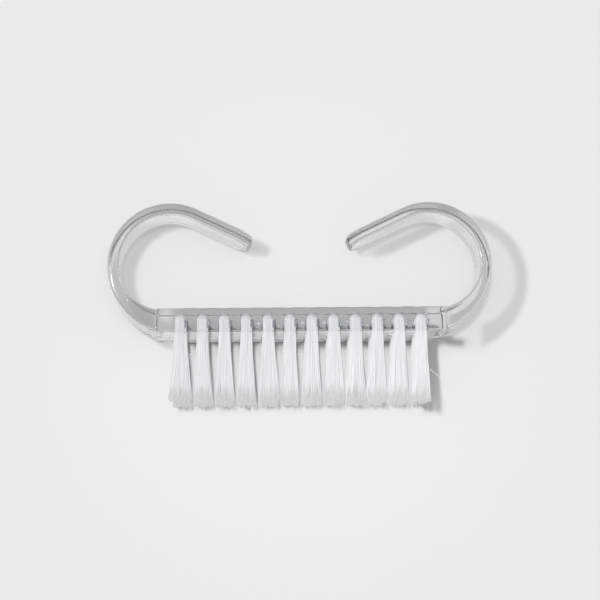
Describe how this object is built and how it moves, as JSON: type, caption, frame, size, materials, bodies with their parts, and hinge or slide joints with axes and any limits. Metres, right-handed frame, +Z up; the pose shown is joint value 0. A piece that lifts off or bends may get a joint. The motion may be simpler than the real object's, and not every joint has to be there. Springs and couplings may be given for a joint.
{
  "type": "acrylic nail brush",
  "caption": "Clear plastic nail brush with two open hook arms that curl over its back, and rows of white nylon bristle tufts stapled into its block.",
  "frame": {"origin": "middle of the long side face of the block that the brush lies on, halfway between the face that holds the bristles and the face that the arms rise from", "axes": "+X along the brush, +Y from the bristle tips towards the hook arms, +Z up from the side that it lies on, across the brush's depth"},
  "size_m": [0.09, 0.0469, 0.017],
  "materials": {
    "clear_acrylic": "gloss",
    "nylon_filament": "satin",
    "anchor_wire": "satin"
  },
  "bodies": {
    "root": {"handle_body": "clear_acrylic", "tuft_r1_c01": "nylon_filament", "tuft_r1_c02": "nylon_filament", "tuft_r1_c03": "nylon_filament", "tuft_r1_c04": "nylon_filament", "tuft_r1_c05": "nylon_filament", "tuft_r1_c06": "nylon_filament", "tuft_r1_c07": "nylon_filament", "tuft_r1_c08": "nylon_filament", "tuft_r1_c09": "nylon_filament", "tuft_r1_c10": "nylon_filament", "tuft_r1_c11": "nylon_filament", "tuft_r1_c12": "nylon_filament", "tuft_r2_c01": "nylon_filament", "tuft_r2_c02": "nylon_filament", "tuft_r2_c03": "nylon_filament", "tuft_r2_c04": "nylon_filament", "tuft_r2_c05": "nylon_filament", "tuft_r2_c06": "nylon_filament", "tuft_r2_c07": "nylon_filament", "tuft_r2_c08": "nylon_filament", "tuft_r2_c09": "nylon_filament", "tuft_r2_c10": "nylon_filament", "tuft_r2_c11": "nylon_filament", "tuft_r2_c12": "nylon_filament", "tuft_r3_c01": "nylon_filament", "tuft_r3_c02": "nylon_filament", "tuft_r3_c03": "nylon_filament", "tuft_r3_c04": "nylon_filament", "tuft_r3_c05": "nylon_filament", "tuft_r3_c06": "nylon_filament", "tuft_r3_c07": "nylon_filament", "tuft_r3_c08": "nylon_filament", "tuft_r3_c09": "nylon_filament", "tuft_r3_c10": "nylon_filament", "tuft_r3_c11": "nylon_filament", "tuft_r3_c12": "nylon_filament", "tuft_r4_c01": "nylon_filament", "tuft_r4_c02": "nylon_filament", "tuft_r4_c03": "nylon_filament", "tuft_r4_c04": "nylon_filament", "tuft_r4_c05": "nylon_filament", "tuft_r4_c06": "nylon_filament", "tuft_r4_c07": "nylon_filament", "tuft_r4_c08": "nylon_filament", "tuft_r4_c09": "nylon_filament", "tuft_r4_c10": "nylon_filament", "tuft_r4_c11": "nylon_filament", "tuft_r4_c12": "nylon_filament", "anchors_row_1": "anchor_wire", "anchors_row_2": "anchor_wire", "anchors_row_3": "anchor_wire", "anchors_row_4": "anchor_wire"}
  },
  "joints": []
}
